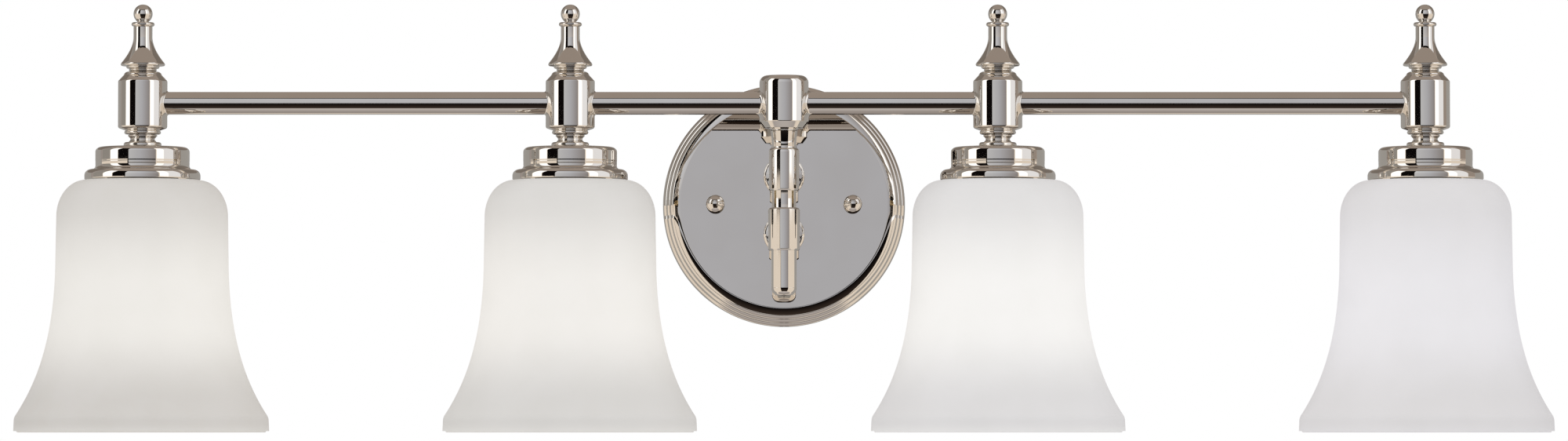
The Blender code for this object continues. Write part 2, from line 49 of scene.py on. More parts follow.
# Sizes of a light unit
TUBE_RADIUS = 6.2
HUB_RADIUS = 13.4
HUB_TOP = 17.2
HUB_BOTTOM = -17.0
NIPPLE_RADIUS = 4.7
CUP_TOP = -24.0
CUP_RADIUS = 31.5
SOCKET_RADIUS = 19.6
SOCKET_BORE = 13.9
SOCKET_BOTTOM = -62.0
SOCKET_FLOOR = -35.7
RING_INNER = 20.0
RING_RADIUS = 27.0
SHADE_TOP = -42.1
SHADE_BOTTOM = -179.5
SHADE_HOLE = 21.0
SHADE_MOUTH = 69.3
GLASS = 3.0
LAMP_HEIGHT = -115.0
LAMP_RADIUS = 30.0
LAMP_GLASS = 1.0
LAMP_CAP_RADIUS = 13.1
LAMP_PITCH = 3.63

# Sizes of the post and the wall side
CENTER_HUB_TOP = 15.1
POST_RADIUS = 6.9
POST_WAIST = 6.6
POST_END = -105.0
SLEEVE_HALF = 11.65
SLEEVE_BORE = 6.95
ARM_RADIUS = 5.5
ARM_BORE = 4.0
CANOPY_RADIUS = 68.3
CANOPY_DEPTH = 24.0
CANOPY_INSIDE = 22.8
NUT_RADIUS = 5.15
STUD_RADIUS = 2.0
STUD_END = 31.0
STUD_PITCH = 0.7
BRACKET_THICKNESS = 1.6

# Threads: radius, lowest and highest height, pitch, and depth, which is negative inside a bore
FINIAL_THREAD = (2.5, 10.1, HUB_TOP - 0.6, 0.9, 0.35)
NIPPLE_THREAD = (NIPPLE_RADIUS, -28.2, -24.6, 1.0, 0.4)
SOCKET_THREAD = (SOCKET_RADIUS, -59.0, -39.0, 2.5, 0.5)
SHELL_THREAD = (13.55, -59.5, -43.5, LAMP_PITCH, 0.15)
CAP_THREAD = (LAMP_CAP_RADIUS, -57.0, -43.0, LAMP_PITCH, 0.9)
CAP_LINING = (12.2, -57.0, -43.5, LAMP_PITCH, 0.0)
RING_THREAD = (RING_INNER, -49.6, -45.6, 1.25, -0.3)
ARM_THREAD = (ARM_RADIUS, 14.6, 23.4, 1.0, 0.45)
NUT_THREAD = (2.25, 24.7, STUD_END, STUD_PITCH, -0.2)
STUD_THREAD = (STUD_RADIUS, 0.6, 30.3, STUD_PITCH, 0.3)

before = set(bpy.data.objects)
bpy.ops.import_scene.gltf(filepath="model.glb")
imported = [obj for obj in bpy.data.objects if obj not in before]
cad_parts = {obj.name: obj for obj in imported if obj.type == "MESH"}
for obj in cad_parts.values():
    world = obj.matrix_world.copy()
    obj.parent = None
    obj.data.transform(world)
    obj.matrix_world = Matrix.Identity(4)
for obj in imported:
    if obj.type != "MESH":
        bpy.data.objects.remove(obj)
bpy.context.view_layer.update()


def centre_of(node):
    """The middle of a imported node's box, in metres."""
    low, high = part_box(node)
    return (low + high) / 2


# Outlines


def arc(centre, size, start, end, steps=12):
    """Points on an ellipse from angle start to end, in degrees, both ends included."""
    points = []
    for i in range(steps + 1):
        angle = math.radians(start + (end - start) * i / steps)
        points.append((centre[0] + size[0] * math.cos(angle), centre[1] + size[1] * math.sin(angle)))
    return points


def rounded(outline, steps=6):
    """The outline with an arc in place of each point that has a third number, the arc's radius."""
    points = []
    for i, point in enumerate(outline):
        here = Vector(point[:2])
        if len(point) < 3:
            points.append(here)
            continue
        to_before = Vector(outline[i - 1][:2]) - here
        to_after = Vector(outline[(i + 1) % len(outline)][:2]) - here
        half = to_before.angle(to_after) / 2
        reach = min(point[2] / math.tan(half), 0.49 * to_before.length, 0.49 * to_after.length)
        to_before.normalize()
        to_after.normalize()
        radius = reach * math.tan(half)
        centre = here + (to_before + to_after).normalized() * radius / math.sin(half)
        arm = here + to_before * reach - centre
        sweep = math.pi - 2 * half
        if arm.x * to_after.y - arm.y * to_after.x < 0:
            sweep = -sweep
        for k in range(steps + 1):
            turn = Matrix.Rotation(sweep * k / steps, 2)
            points.append(centre + turn @ arm)
    return [(p[0], p[1]) for p in points]


def inset(outline, distance):
    """The outline moved to its right-hand side by distance."""
    moved = []
    for i, point in enumerate(outline):
        before = Vector(outline[max(i - 1, 0)])
        after = Vector(outline[min(i + 1, len(outline) - 1)])
        along = (after - before).normalized()
        moved.append((point[0] + along.y * distance, point[1] - along.x * distance))
    return moved


def bezier(start, pull_start, pull_end, end, steps):
    points = []
    for i in range(steps + 1):
        t = i / steps
        weights = ((1 - t) ** 3, 3 * t * (1 - t) ** 2, 3 * t**2 * (1 - t), t**3)
        ends = (start, pull_start, pull_end, end)
        points.append(tuple(sum(w * p[axis] for w, p in zip(weights, ends)) for axis in (0, 1)))
    return points


def thread_rows(thread, per_turn=8, downwards=False):
    """Points close enough together along a thread's length to carry it."""
    radius, low, high, pitch, _ = thread
    count = max(2, round((high - low) / pitch * per_turn))
    start, end = (high, low) if downwards else (low, high)
    return [(radius, start + (end - start) * i / count) for i in range(count + 1)]


# Meshes


def finished_mesh(bm, name, scale=MM):
    """The mesh of a body built in millimetres, smooth but for its sharp edges."""
    bmesh.ops.recalc_face_normals(bm, faces=bm.faces)
    bm.transform(Matrix.Scale(scale, 4))
    mesh = bpy.data.meshes.new(name)
    bm.to_mesh(mesh)
    bm.free()
    mesh.shade_smooth()
    mesh.set_sharp_from_angle(angle=SHARP_ANGLE)
    return mesh


def turned_bm(outline, segments=FINE, thread=None):
    """A body turned about Z from (radius, height) points.

    Where a thread is given, points at its radius and between its heights are pushed in along
    a screw line by up to its depth, or out where the depth is negative.
    """
    bm = bmesh.new()
    rings = []
    for radius, height in outline:
        if radius < 1e-4:
            rings.append([bm.verts.new((0.0, 0.0, height))] * segments)
            continue
        ring = []
        for k in range(segments):
            angle = math.tau * k / segments
            reach = radius - thread_depth(thread, radius, height, angle)
            ring.append(bm.verts.new((reach * math.cos(angle), reach * math.sin(angle), height)))
        rings.append(ring)
    pairs = list(zip(rings, rings[1:]))
    if outline[0][0] > 1e-4 or outline[-1][0] > 1e-4:
        pairs.append((rings[-1], rings[0]))
    for low, high in pairs:
        for k in range(segments):
            after = (k + 1) % segments
            corners = dict.fromkeys((low[k], low[after], high[after], high[k]))
            if len(corners) > 2:
                bm.faces.new(list(corners))
    return bm


def thread_depth(thread, radius, height, angle):
    """How far a thread pushes in a point that stands at this radius, height and angle."""
    if thread is None:
        return 0.0
    at, low, high, pitch, depth = thread
    if abs(radius - at) > 1e-3 or not low <= height <= high:
        return 0.0
    fade = min(1.0, (height - low) / pitch, (high - height) / pitch)
    return depth * fade * (0.5 + 0.5 * math.cos(math.tau * height / pitch - angle))


def turned(name, outline, segments=FINE, thread=None):
    return finished_mesh(turned_bm(rounded(outline), segments, thread), name)


def saddle_into(bm, hub_radius, side, fillet, steps=8):
    """Adds the hollow fillet where the bar's tube meets an upright hub, on the +X or -X side."""
    sunk = 0.3
    rows = []
    for k in range(FINE):
        angle = math.tau * k / FINE
        across = Vector((0.0, math.sin(angle), math.cos(angle)))
        centre = across * (TUBE_RADIUS + fillet)
        centre.x = math.sqrt((hub_radius + fillet) ** 2 - centre.y**2)
        on_tube = across * TUBE_RADIUS
        on_tube.x = centre.x
        scale = hub_radius / (hub_radius + fillet)
        on_hub = Vector((centre.x * scale, centre.y * scale, centre.z))
        start, end = on_tube - centre, on_hub - centre
        turn = start.rotation_difference(end)
        row = []
        for i in range(steps + 1):
            spoke = start.copy()
            spoke.rotate(type(turn)().slerp(turn, i / steps))
            row.append(centre + spoke)
        corner = across * (TUBE_RADIUS - sunk)
        corner.x = math.sqrt((hub_radius - sunk) ** 2 - corner.y**2)
        row.append(corner)
        rows.append([bm.verts.new((p.x * side, p.y, p.z)) for p in row])
    for row, following in zip(rows, rows[1:] + rows[:1]):
        for i in range(len(row)):
            j = (i + 1) % len(row)
            bm.faces.new((row[i], row[j], following[j], following[i]))


def hex_nut(name, across_flats, bore, low, high, pitch, segments=72):
    """A hexagon nut about Z with chamfered corners and a threaded bore."""
    flat = across_flats / 2
    lead_in = 0.4
    bm = bmesh.new()
    rings = []

    def ring(radius_at, height_at):
        made = []
        for k in range(segments):
            angle = math.tau * k / segments
            radius = radius_at(angle)
            x, y = radius * math.cos(angle), radius * math.sin(angle)
            made.append(bm.verts.new((x, y, height_at(radius))))
        rings.append(made)

    def hexagon(angle):
        return flat / math.cos((angle % (math.pi / 3)) - math.pi / 6)

    def drop(radius):
        return 0.5 * max(0.0, radius - flat * 0.97)

    ring(lambda a: bore + lead_in, lambda r: high)
    ring(lambda a: flat * 0.97, lambda r: high)
    ring(hexagon, lambda r: high - drop(r))
    ring(hexagon, lambda r: low + drop(r))
    ring(lambda a: flat * 0.97, lambda r: low)
    ring(lambda a: bore + lead_in, lambda r: low)
    thread = (bore, low, high, pitch, -pitch * 0.35)
    for _, height in thread_rows((bore, low + lead_in, high - lead_in, pitch, 0.0)):
        ring(lambda a: bore - thread_depth(thread, bore, height, a), lambda r: height)
    for one, other in zip(rings, rings[1:] + rings[:1]):
        for k in range(segments):
            j = (k + 1) % segments
            bm.faces.new((one[k], one[j], other[j], other[k]))
    return finished_mesh(bm, name)


def plate_mesh(name, loops, thickness, edge):
    """A flat plate in the XZ plane from closed loops of (x, z): first its rim, then its holes."""
    curve = bpy.data.curves.new(name, "CURVE")
    curve.dimensions = "2D"
    curve.fill_mode = "BOTH"
    curve.extrude = (thickness / 2 - edge) * MM
    curve.bevel_depth = edge * MM
    curve.bevel_resolution = 2
    for loop in loops:
        spline = curve.splines.new("POLY")
        spline.points.add(len(loop) - 1)
        for point, (x, z) in zip(spline.points, loop):
            point.co = (x * MM, z * MM, 0.0, 1.0)
        spline.use_cyclic_u = True
    carrier = bpy.data.objects.new(name, curve)
    bpy.context.scene.collection.objects.link(carrier)
    bpy.context.view_layer.update()
    evaluated = carrier.evaluated_get(bpy.context.evaluated_depsgraph_get())
    mesh = bpy.data.meshes.new_from_object(evaluated)
    bpy.data.objects.remove(carrier)
    bpy.data.curves.remove(curve)
    mesh.transform(Matrix.Rotation(math.pi / 2, 4, "X"))
    mesh.transform(Matrix.Translation((0.0, -thickness / 2 * MM, 0.0)))
    mesh.shade_smooth()
    mesh.set_sharp_from_angle(angle=SHARP_ANGLE)
    return mesh


def cut_out(item, mesh):
    """Cuts a mesh, in the object's own frame, out of an object for good."""
    cutter = bpy.data.objects.new("cutter", mesh)
    bpy.context.scene.collection.objects.link(cutter)
    cutter.matrix_world = item.matrix_world
    boolean = item.modifiers.new("cut", "BOOLEAN")
    boolean.operation = "DIFFERENCE"
    boolean.solver = "EXACT"
    boolean.object = cutter
    bpy.context.view_layer.update()
    evaluated = item.evaluated_get(bpy.context.evaluated_depsgraph_get())
    cut_mesh = bpy.data.meshes.new_from_object(evaluated)
    item.modifiers.remove(boolean)
    bpy.data.objects.remove(cutter)
    item.data = cut_mesh


# Materials


class Shading:
    """One node material or world under construction."""

    def __init__(self, owner):
        owner.use_nodes = True
        self.tree = owner.node_tree
        self.owner = owner

    def add(self, kind, inputs=None, **settings):
        node = self.tree.nodes.new(kind)
        for name, value in settings.items():
            setattr(node, name, value)
        for key, value in (inputs or {}).items():
            self.feed(node.inputs[key], value)
        return node

    def feed(self, socket, value):
        if isinstance(value, bpy.types.NodeSocket):
            self.tree.links.new(value, socket)
        else:
            socket.default_value = value

    def math(self, operation, *values):
        node = self.add("ShaderNodeMath", dict(enumerate(values)), operation=operation)
        return node.outputs[0]

    def noise(self, where, scale, detail=3.0, roughness=0.5):
        inputs = {"Vector": where, "Scale": scale, "Detail": detail, "Roughness": roughness}
        return self.add("ShaderNodeTexNoise", inputs).outputs["Fac"]

    def remap(self, value, low, high, out_low, out_high, smooth=False):
        inputs = {
            "Value": value,
            "From Min": low,
            "From Max": high,
            "To Min": out_low,
            "To Max": out_high,
        }
        kind = "SMOOTHSTEP" if smooth else "LINEAR"
        return self.add("ShaderNodeMapRange", inputs, interpolation_type=kind).outputs["Result"]

    def blend(self, share, first, second):
        """A colour that goes from first to second as share goes from 0 to 1."""
        node = self.add("ShaderNodeMix", data_type="RGBA")
        self.feed(node.inputs[0], share)
        self.feed(node.inputs[6], first)
        self.feed(node.inputs[7], second)
        return node.outputs[2]

    def within(self, value, low, high, edge):
        """1 where value is between low and high, falling to 0 over edge at both ends."""
        rise = self.remap(value, low - edge, low + edge, 0.0, 1.0, smooth=True)
        fall = self.remap(value, high - edge, high + edge, 1.0, 0.0, smooth=True)
        return self.math("MULTIPLY", rise, fall)

    def ramp(self, value, stops, interpolation="EASE"):
        """A colour ramp from (place, colour) stops."""
        node = self.add("ShaderNodeValToRGB", {"Fac": value})
        node.color_ramp.interpolation = interpolation
        elements = node.color_ramp.elements
        while len(elements) < len(stops):
            elements.new(0.5)
        for element, (place, colour) in zip(elements, stops):
            element.position = place
            element.color = colour
        return node.outputs["Color"]

    def bump(self, height, distance, strength=1.0, under=None):
        inputs = {"Height": height, "Distance": distance, "Strength": strength}
        if under is not None:
            inputs["Normal"] = under
        return self.add("ShaderNodeBump", inputs).outputs["Normal"]


def grey(level):
    return (level, level, level, 1.0)


def new_surface(name, metallic=0.0, ior=1.5):
    material = bpy.data.materials.new(name)
    shade = Shading(material)
    surface = shade.tree.nodes["Principled BSDF"]
    surface.inputs["Metallic"].default_value = metallic
    surface.inputs["IOR"].default_value = ior
    where = shade.add("ShaderNodeTexCoord").outputs["Object"]
    return shade, surface, where


def nickel(name, waves, wave_height, mark_height, haze_low, haze_high):
    """Mirror-polished nickel plate: warm tone, faint haze, polishing marks and slow waves."""
    shade, surface, where = new_surface(name, metallic=1.0)
    tone = shade.remap(shade.noise(where, 35.0, 2.0), 0.3, 0.7, 0.0, 1.0)
    warm, bright = (0.80, 0.765, 0.72, 1.0), (0.83, 0.80, 0.76, 1.0)
    shade.feed(surface.inputs["Base Color"], shade.blend(tone, warm, bright))
    haze = shade.noise(where, 160.0, 4.0, 0.6)
    shade.feed(surface.inputs["Roughness"], shade.remap(haze, 0.3, 0.75, haze_low, haze_high))
    slow = shade.noise(where, waves, 1.0)
    marks = shade.noise(where, 2200.0, 2.0)
    waved = shade.bump(slow, wave_height)
    shade.feed(surface.inputs["Normal"], shade.bump(marks, mark_height, under=waved))
    return shade.owner


def opal_glass(name, rest, lit):
    """White cased glass with painted light: its emission paints the lamp's glow through the glass, from the
    rest colour to the lit colour round the lamp's height.
    """
    shade, surface, where = new_surface(name, ior=1.5)
    surface.inputs["Specular IOR Level"].default_value = 0.3
    cloud = shade.remap(shade.noise(where, 45.0, 3.0), 0.35, 0.65, 0.0, 1.0)
    milk, chalk = (0.90, 0.895, 0.88, 1.0), (0.93, 0.925, 0.915, 1.0)
    shade.feed(surface.inputs["Base Color"], shade.blend(cloud, milk, chalk))
    satin = shade.noise(where, 260.0, 2.0)
    shade.feed(surface.inputs["Roughness"], shade.remap(satin, 0.3, 0.7, 0.5, 0.58))
    ripple = shade.noise(where, 28.0, 1.0)
    waved = shade.bump(ripple, 0.00025)
    shade.feed(surface.inputs["Normal"], shade.bump(satin, 0.000002, under=waved))
    height = shade.add("ShaderNodeSeparateXYZ", {"Vector": where}).outputs["Z"]
    along = shade.remap(height, -180.0 * MM, -40.0 * MM, 0.0, 1.0)
    # painted highlight: the emission is brighter along the rim's lip
    painted_rim_highlight = [(0.0, grey(0.3)), (0.04, grey(0.0))]
    # painted glow: the lamp's light through the glass, painted by height and brightest round the lamp
    painted_lamp_band = [(0.11, grey(0.0)), (0.43, grey(1.0)), (0.57, grey(1.0)), (1.0, grey(0.08))]
    painted_glow_share = shade.ramp(along, painted_rim_highlight + painted_lamp_band)
    # the painted glow, from the painted rest colour to the painted colour round the lamp
    glow = shade.blend(painted_glow_share, rest + (1.0,), lit + (1.0,))
    shade.feed(surface.inputs["Emission Color"], glow)
    surface.inputs["Emission Strength"].default_value = 1.0
    return shade.owner


def lamp_glass():
    """Frosted lamp glass, lit: brightest in the middle, dimmer at its throat and outline."""
    shade, surface, where = new_surface("bulb_glass", ior=1.5)
    frost = shade.noise(where, 900.0, 3.0)
    thick, thin = (0.93, 0.91, 0.86, 1.0), (0.98, 0.96, 0.93, 1.0)
    shade.feed(surface.inputs["Base Color"], shade.blend(frost, thick, thin))
    shade.feed(surface.inputs["Roughness"], shade.remap(frost, 0.3, 0.7, 0.35, 0.55))
    shade.feed(surface.inputs["Normal"], shade.bump(frost, 0.00001))
    height = shade.add("ShaderNodeSeparateXYZ", {"Vector": where}).outputs["Z"]
    along = shade.remap(height, -146.0 * MM, -60.0 * MM, 0.0, 1.0)
    end, middle, throat = (1.0, 0.95, 0.86, 1.0), (1.0, 0.97, 0.91, 1.0), (0.55, 0.5, 0.42, 1.0)
    glow = shade.ramp(along, [(0.0, end), (0.4, middle), (1.0, throat)])
    slope = shade.add("ShaderNodeLayerWeight", {"Blend": 0.45}).outputs["Facing"]
    amber_edge = (0.30, 0.24, 0.15, 1.0)
    shade.feed(surface.inputs["Emission Color"], shade.blend(slope, glow, amber_edge))
    surface.inputs["Emission Strength"].default_value = 0.5
    return shade.owner


def rolled_brass(name, light, dark, dull):
    """Brass with fine turning lines round its axis and slightly tarnished patches."""
    shade, surface, where = new_surface(name, metallic=1.0)
    patches = shade.remap(shade.noise(where, 120.0, 4.0, 0.6), 0.35, 0.7, 0.0, 1.0)
    shade.feed(surface.inputs["Base Color"], shade.blend(patches, light + (1.0,), dark + (1.0,)))
    stretch = {"Vector": where, "Scale": (40.0, 40.0, 5200.0)}
    grooves = shade.noise(shade.add("ShaderNodeMapping", stretch).outputs["Vector"], 1.0, 2.0)
    shade.feed(surface.inputs["Roughness"], shade.remap(grooves, 0.3, 0.7, dull - 0.08, dull + 0.08))
    shade.feed(surface.inputs["Normal"], shade.bump(grooves, 0.000004))
    return shade.owner


def zinc_plate():
    """Passivated zinc: small crystal patches under a light blue-grey sheen."""
    shade, surface, where = new_surface("zinc_steel", metallic=1.0)
    crystals = shade.add("ShaderNodeTexVoronoi", {"Vector": where, "Scale": 420.0}).outputs["Color"]
    patch = shade.add("ShaderNodeSeparateColor", {"Color": crystals}).outputs["Red"]
    dark, light = (0.52, 0.53, 0.55, 1.0), (0.66, 0.66, 0.67, 1.0)
    shade.feed(surface.inputs["Base Color"], shade.blend(patch, dark, light))
    shade.feed(surface.inputs["Roughness"], shade.remap(patch, 0.0, 1.0, 0.28, 0.42))
    shade.feed(surface.inputs["Normal"], shade.bump(shade.noise(where, 900.0, 3.0), 0.000006))
    return shade.owner


def moulded_phenolic():
    """Black moulded phenolic with faint flow marks and a dull gloss."""
    shade, surface, where = new_surface("socket_phenolic", ior=1.55)
    flow = shade.noise(where, 90.0, 5.0, 0.6)
    dark, light = (0.028, 0.025, 0.022, 1.0), (0.06, 0.053, 0.047, 1.0)
    shade.feed(surface.inputs["Base Color"], shade.blend(flow, dark, light))
    shade.feed(surface.inputs["Roughness"], shade.remap(flow, 0.3, 0.7, 0.32, 0.5))
    shade.feed(surface.inputs["Normal"], shade.bump(shade.noise(where, 1500.0, 2.0), 0.000008))
    return shade.owner


def green_steel():
    """Green dye over steel, worn thin in places."""
    shade, surface, where = new_surface("ground_green", metallic=0.6)
    wear = shade.noise(where, 700.0, 4.0, 0.6)
    bare = shade.remap(wear, 0.45, 0.75, 0.0, 1.0)
    dyed, worn = (0.03, 0.26, 0.10, 1.0), (0.16, 0.36, 0.22, 1.0)
    shade.feed(surface.inputs["Base Color"], shade.blend(bare, dyed, worn))
    shade.feed(surface.inputs["Roughness"], shade.remap(wear, 0.3, 0.7, 0.32, 0.5))
    return shade.owner


def floor_paint():
    shade, surface, where = new_surface("floor_paint")
    soft = shade.noise(where, 2.0, 3.0)
    dull, clean = (0.86, 0.86, 0.855, 1.0), (0.89, 0.89, 0.885, 1.0)
    shade.feed(surface.inputs["Base Color"], shade.blend(soft, dull, clean))
    surface.inputs["Roughness"].default_value = 0.8
    return shade.owner


# Finishes: a material, and the slot that it fills
PLATE = (nickel("polished_nickel", 60.0, 0.000008, 0.00000015, 0.015, 0.04), "polished_nickel")
FACE_PLATE = (nickel("polished_nickel_face", 18.0, 0.000006, 0.00000008, 0.006, 0.016), "polished_nickel")
ZINC = (zinc_plate(), "zinc_steel")
PHENOLIC = (moulded_phenolic(), "socket_phenolic")
GREEN = (green_steel(), "ground_green")
RING_BRASS = (rolled_brass("ring_brass", (0.74, 0.60, 0.36), (0.60, 0.46, 0.26), 0.34), "ring_brass")
CAP_BRASS = (rolled_brass("bulb_brass", (0.82, 0.68, 0.42), (0.70, 0.56, 0.32), 0.26), "bulb_brass")
LAMP = (lamp_glass(), "bulb_glass")

# Painted glow of each shade, set a little different on each: the painted glow at rest, and the painted glow
# round the lamp
PAINTED_GLOWS = {
    1: ((0.1, 0.084, 0.066), (0.33, 0.315, 0.285)),
    2: ((0.14, 0.132, 0.122), (0.35, 0.335, 0.31)),
    3: ((0.182, 0.178, 0.188), (0.39, 0.385, 0.375)),
    4: ((0.175, 0.167, 0.182), (0.285, 0.28, 0.31)),
}
# each shade's opal glass carries its own painted glow
OPAL = {i: (opal_glass(f"opal_glass_{i}", *PAINTED_GLOWS[i]), "opal_glass") for i in UNITS}


# Placing


def put(name, mesh, finish, body, nodes, at, turn=UPRIGHT, weighted=True):
    """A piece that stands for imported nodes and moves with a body."""
    material, slot = finish
    item = bpy.data.objects.new(name, mesh)
    bpy.context.scene.collection.objects.link(item)
    if not mesh.materials:
        mesh.materials.append(material)
    item.location = at
    item.rotation_euler = turn
    if weighted:
        smooth = item.modifiers.new("even_normals", "WEIGHTED_NORMAL")
        smooth.keep_sharp = True
    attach(item, body)
    if nodes:
        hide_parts(*nodes)
    return item


# Light units


def finial_outline():
    """From the top: ball, neck, bead, column, flared skirt with a lip, two beads and a stud."""
    outline = arc((0, 48.8), (5.2, 5.2), 90, -54, 24)
    outline[0] = (0.0, 54.0)
    outline += [(2.95, 44.3, 0.3)]
    outline += arc((5.2, 43.1), (1.1, 1.1), 118, -108, 12)
    column, column_end, skirt_end, skirt_growth = 5.15, 36.0, 21.9, 6.65
    outline.append((column, 41.7, 0.4))
    for i in range(21):
        t = i / 20
        outline.append((column + skirt_growth * t**1.78, column_end + (skirt_end - column_end) * t))
    outline += [(12.1, 21.1, 0.4), (11.7, 20.4, 0.3), (8.9, 20.9)]
    outline += arc((7.9, 19.9), (1.15, 1.05), 52, -70, 10)
    outline += arc((6.7, 18.15), (0.9, 0.75), 58, -80, 10)
    outline += [(6.6, HUB_TOP + 0.1), (2.5, HUB_TOP + 0.1)]
    outline += thread_rows(FINIAL_THREAD, downwards=True)
    return outline + [(2.0, 9.5), (0.0, 9.5)]


def hub_outline():
    """From the top: a small round shoulder, the barrel with softened ends, and a bead under it."""
    outline = [(3.0, HUB_TOP)] + arc((7.9, 15.0), (2.5, 2.2), 90, 8, 12)
    outline += [(HUB_RADIUS, 12.1, 1.2), (HUB_RADIUS, -13.5, 1.3), (9.7, -14.8, 0.3)]
    outline += arc((8.95, -15.95), (1.0, 1.05), 62, -90, 12)
    outline += [(4.9, HUB_BOTTOM), (4.9, 8.0), (2.8, 8.0), (2.8, 16.8)]
    return outline


def neck_outline():
    """A spool on a hollow nipple: a ridge, a waist and a bead, then the thread in the cup."""
    outline = [(2.5, -10.0), (NIPPLE_RADIUS, -10.0, 0.3), (NIPPLE_RADIUS, -17.05)]
    outline += arc((7.2, -17.75), (0.75, 0.65), 90, -60, 8)
    outline += [(6.6, -19.4, 1.2), (6.7, -20.2, 0.8), (7.7, -21.2, 0.3)]
    outline += arc((9.15, -22.65), (1.15, 1.3), 112, -88, 12)
    outline += [(NIPPLE_RADIUS, CUP_TOP)]
    outline += thread_rows(NIPPLE_THREAD, downwards=True)
    return outline + [(4.2, -28.5), (2.5, -28.5)]


def cup_outline():
    """Two tiers in thin metal: a drum, a swept shoulder and a skirt with a rolled lower edge."""
    outer = [(5.0, CUP_TOP)] + arc((22.3, CUP_TOP - 2.6), (3.3, 2.6), 90, 0, 14)
    outer += [(25.6, -31.3), (25.6, -31.5), (25.55, -31.85), (25.55, -32.05), (25.55, -33.6)]
    outer += bezier((25.5, -34.0), (25.6, -35.6), (26.4, -36.2), (28.1, -36.25), 8)
    outer += arc((28.1, -39.55), (3.4, 3.3), 84, 0, 14)
    outer += [(CUP_RADIUS, -41.6, 0.35)]
    inner = [(30.5, -41.8, 0.3), (30.4, -39.8), (27.8, -36.6, 1.5), (24.4, -35.6, 1.0)]
    return outer + inner + [(24.4, -27.4, 2.2), (22.2, -25.2), (5.0, -25.2)]


def socket_outline():
    """A lamp holder: outer thread for the shade ring, and a deep bore for the lamp."""
    outline = [(5.0, -25.5), (17.0, -25.5, 1.0), (SOCKET_RADIUS, -28.0, 0.8), (SOCKET_RADIUS, -38.5)]
    outline += thread_rows(SOCKET_THREAD, 10, downwards=True)
    outline += [(SOCKET_RADIUS, SOCKET_BOTTOM + 0.5, 0.5), (SOCKET_RADIUS - 0.8, SOCKET_BOTTOM, 0.4)]
    outline += [(SOCKET_BORE + 0.5, SOCKET_BOTTOM, 0.5), (SOCKET_BORE, SOCKET_BOTTOM + 0.8)]
    return outline + [(SOCKET_BORE, SOCKET_FLOOR), (5.0, SOCKET_FLOOR)]


def screw_shell_outline():
    """The thin brass shell inside a lamp holder."""
    rows = thread_rows(SHELL_THREAD, 10)
    inner = [(13.3, height) for _, height in reversed(rows)]
    return rows + inner


def ring_outline():
    """The threaded ring that holds the shade up, with a chamfered lower edge."""
    outline = [(RING_INNER, -45.4), (RING_RADIUS, -45.4, 0.4), (RING_RADIUS, -48.2, 0.5), (25.4, -49.8, 0.6)]
    return outline + thread_rows(RING_THREAD)


def shade_outline():
    """A bell: a flat top with a hole, a round shoulder, a waist, a flare and an upright rim."""
    outer = [(SHADE_HOLE, SHADE_TOP)] + arc((31.0, -62.0), (15.6, 19.9), 90, 0, 28)
    steps = 32
    for i in range(1, steps + 1):
        t = i / steps
        outer.append((47.0 + 22.0 * (0.68 * t**2 + 0.32 * t**4), -85.0 - 86.4 * t))
    outer[-1] = (69.0, -171.4, 6.0)
    outer = rounded(outer + [(SHADE_MOUTH, SHADE_BOTTOM + 1.5)])
    inner = inset(outer, GLASS)
    inner[0] = (SHADE_HOLE, SHADE_TOP - GLASS)
    lip = [(SHADE_MOUTH, SHADE_BOTTOM, 1.3), (SHADE_MOUTH - GLASS, SHADE_BOTTOM, 1.3)]
    return outer + lip + inner[::-1]


def bulb_outline():
    """A pear-shaped lamp: neck, swelling and round end."""
    join = 20.0
    side, drop = math.cos(math.radians(join)), math.sin(math.radians(join))
    meet = (LAMP_RADIUS * side, LAMP_HEIGHT + LAMP_RADIUS * drop)
    pull = (meet[0] - 12.0 * drop, meet[1] + 12.0 * side)
    outer = [(12.2, -57.5)] + bezier((12.2, -62.0), (12.4, -80.0), pull, meet, 20)
    outer += arc((0, LAMP_HEIGHT), (LAMP_RADIUS, LAMP_RADIUS), join, -90, 28)[1:]
    outer[-1] = (0.0, LAMP_HEIGHT - LAMP_RADIUS)
    inner = inset(outer, LAMP_GLASS)
    inner[-1] = (0.0, LAMP_HEIGHT - LAMP_RADIUS + LAMP_GLASS)
    return inner[::-1] + outer


def bulb_cap_outline():
    """The lamp's screw cap, with its insulator's cone left to a piece of its own."""
    outer = [(9.0, -40.4), (10.4, -40.0, 0.6), (13.0, -42.2, 0.8)]
    outer += thread_rows(CAP_THREAD, 10, downwards=True)
    outer += [(LAMP_CAP_RADIUS, -58.0, 0.3), (12.9, -61.0, 0.3), (12.3, -61.0)]
    return outer + thread_rows(CAP_LINING, 4) + [(9.6, -41.2)]


def unit_meshes():
    """The meshes that all four light units share."""
    insulator = [(4.4, -38.3), (5.4, -38.2, 0.4), (9.6, -40.7), (4.4, -40.9)]
    contact = [(0, -36.3)] + arc((0, -38.4), (4.3, 2.1), 80, 0, 8) + [(0, -38.8)]
    tab = [(0, -35.9), (6.0, -35.9, 0.3), (6.0, -36.1, 0.1), (0, -36.15)]
    return {
        "finial": turned("finial", finial_outline(), FINE, FINIAL_THREAD),
        "neck": turned("neck", neck_outline(), FINE, NIPPLE_THREAD),
        "cup": turned("cup", cup_outline(), FINEST),
        "socket": turned("socket", socket_outline(), FINE, SOCKET_THREAD),
        "shell": turned("screw_shell", screw_shell_outline(), FINE, SHELL_THREAD),
        "ring": turned("shade_ring", ring_outline(), FINEST, RING_THREAD),
        "shade": turned("shade", shade_outline(), FINEST),
        "bulb": turned("bulb", bulb_outline(), FINE),
        "cap": turned("bulb_cap", bulb_cap_outline(), FINE, CAP_THREAD),
        "insulator": turned("insulator", insulator, SMALL),
        "contact": turned("contact", contact, SMALL),
        "tab": turned("contact_tab", tab, SMALL),
    }


